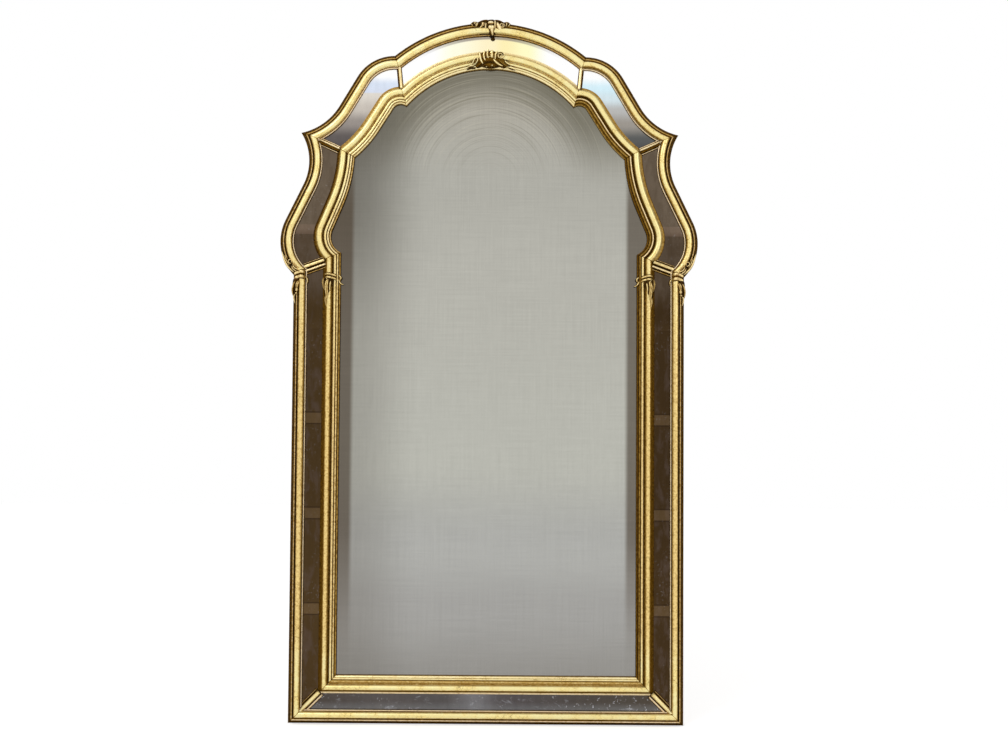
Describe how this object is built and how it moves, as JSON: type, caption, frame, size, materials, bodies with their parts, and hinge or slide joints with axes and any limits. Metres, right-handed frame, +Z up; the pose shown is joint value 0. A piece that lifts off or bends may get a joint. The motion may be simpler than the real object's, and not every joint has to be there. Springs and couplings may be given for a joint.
{
  "type": "wall mirror",
  "caption": "Arched giltwood wall mirror: outer and inner moulded frames with mirrored border plates between, a centre plate, carved leaves, backboards and hinged hanging rings.",
  "frame": {"origin": "middle of the bottom edge, midway between the front of the carvings and the wall plane", "axes": "+Z up the mirror, +X to the viewer's right, -Y out of the front of the mirror, +Y towards the wall"},
  "size_m": [0.8276, 0.055, 1.392],
  "materials": {
    "gilt_moulding": "carved wood, gessoed and water gilt, worn to red bole on the edges and dark in the hollows",
    "gilt_carving": "carved wood, gilt, darker in the cuts",
    "centre_mirror": "old silvered plate glass, slightly clouded",
    "border_mirror": "aged silvered plate glass, brown-grey with fine haze",
    "base_pine": "planed softwood, ochre wash on the edges",
    "old_board": "old unfinished softwood, darkened",
    "iron_screw": "dark slotted iron",
    "hanger_brass": "dull brass",
    "bumper_felt": "pressed felt"
  },
  "bodies": {
    "frame": {"outer_crest_moulding": "gilt_moulding", "outer_shoulder_moulding_left": "gilt_moulding", "outer_shoulder_moulding_right": "gilt_moulding", "outer_lobe_moulding_left": "gilt_moulding", "outer_lobe_moulding_right": "gilt_moulding", "outer_stile_moulding_left": "gilt_moulding", "outer_stile_moulding_right": "gilt_moulding", "outer_bottom_moulding": "gilt_moulding", "inner_crest_moulding": "gilt_moulding", "inner_shoulder_moulding_left": "gilt_moulding", "inner_shoulder_moulding_right": "gilt_moulding", "inner_lobe_moulding_left": "gilt_moulding", "inner_lobe_moulding_right": "gilt_moulding", "inner_stile_moulding_left": "gilt_moulding", "inner_stile_moulding_right": "gilt_moulding", "inner_bottom_moulding": "gilt_moulding", "notch_divider_left": "gilt_moulding", "notch_divider_right": "gilt_moulding", "ear_divider_left": "gilt_moulding", "ear_divider_right": "gilt_moulding", "waist_divider_left": "gilt_moulding", "waist_divider_right": "gilt_moulding", "corner_divider_left": "gilt_moulding", "corner_divider_right": "gilt_moulding", "centre_plate": "centre_mirror", "crest_plate": "border_mirror", "shoulder_plate_left": "border_mirror", "shoulder_plate_right": "border_mirror", "lobe_plate_left": "border_mirror", "lobe_plate_right": "border_mirror", "side_plate_left": "border_mirror", "side_plate_right": "border_mirror", "bottom_plate": "border_mirror", "crest_carving": "gilt_carving", "palmette_carving": "gilt_carving", "outer_leaf_left": "gilt_carving", "outer_leaf_right": "gilt_carving", "inner_leaf_left": "gilt_carving", "inner_leaf_right": "gilt_carving", "base_crest": "base_pine", "base_shoulder_left": "base_pine", "base_shoulder_right": "base_pine", "base_lobe_left": "base_pine", "base_lobe_right": "base_pine", "base_stile_left": "base_pine", "base_stile_right": "base_pine", "base_bottom_rail": "base_pine", "backboard_upper": "old_board", "backboard_middle": "old_board", "backboard_lower": "old_board", "plate_blocks": "base_pine", "backboard_screws": "iron_screw", "hanger_strap_left": "hanger_brass", "hanger_strap_right": "hanger_brass", "hanger_screws": "hanger_brass", "wall_bumpers": "bumper_felt"},
    "ring_left": {"hanger_ring_left": "hanger_brass"},
    "ring_right": {"hanger_ring_right": "hanger_brass"}
  },
  "joints": [
    {"name": "ring_left_swing", "type": "hinge", "parent": "frame", "child": "ring_left", "pos_m": [-0.357, 0.0225, 0.986], "axis": [1, 0, 0], "range_deg": [0, 180]},
    {"name": "ring_right_swing", "type": "hinge", "parent": "frame", "child": "ring_right", "pos_m": [0.357, 0.0225, 0.986], "axis": [1, 0, 0], "range_deg": [0, 180]}
  ]
}
